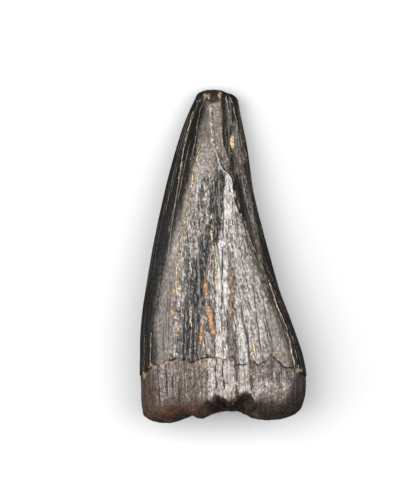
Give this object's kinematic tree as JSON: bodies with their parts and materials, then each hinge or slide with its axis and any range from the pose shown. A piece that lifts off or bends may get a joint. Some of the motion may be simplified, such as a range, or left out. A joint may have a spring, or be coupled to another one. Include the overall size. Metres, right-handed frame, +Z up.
{
  "type": "fossil tyrannosaur tooth",
  "caption": "Dark fossil tyrannosaur tooth: a tapering, gently curved crown with a winding cutting edge, a blunt worn tip and a short hollow root stub, lying down.",
  "frame": {"origin": "middle of the tooth's box seen from above, on the surface that the tooth lies on", "axes": "+Y along the tooth towards its broken tip, +Z up out of the face that shows, +X to the right of that face with the tip pointing away"},
  "size_m": [0.031, 0.062, 0.019],
  "materials": {
    "tooth": "satin dark brown fossil enamel over a duller brown root"
  },
  "bodies": {
    "root": {"tooth": "tooth"}
  },
  "joints": []
}
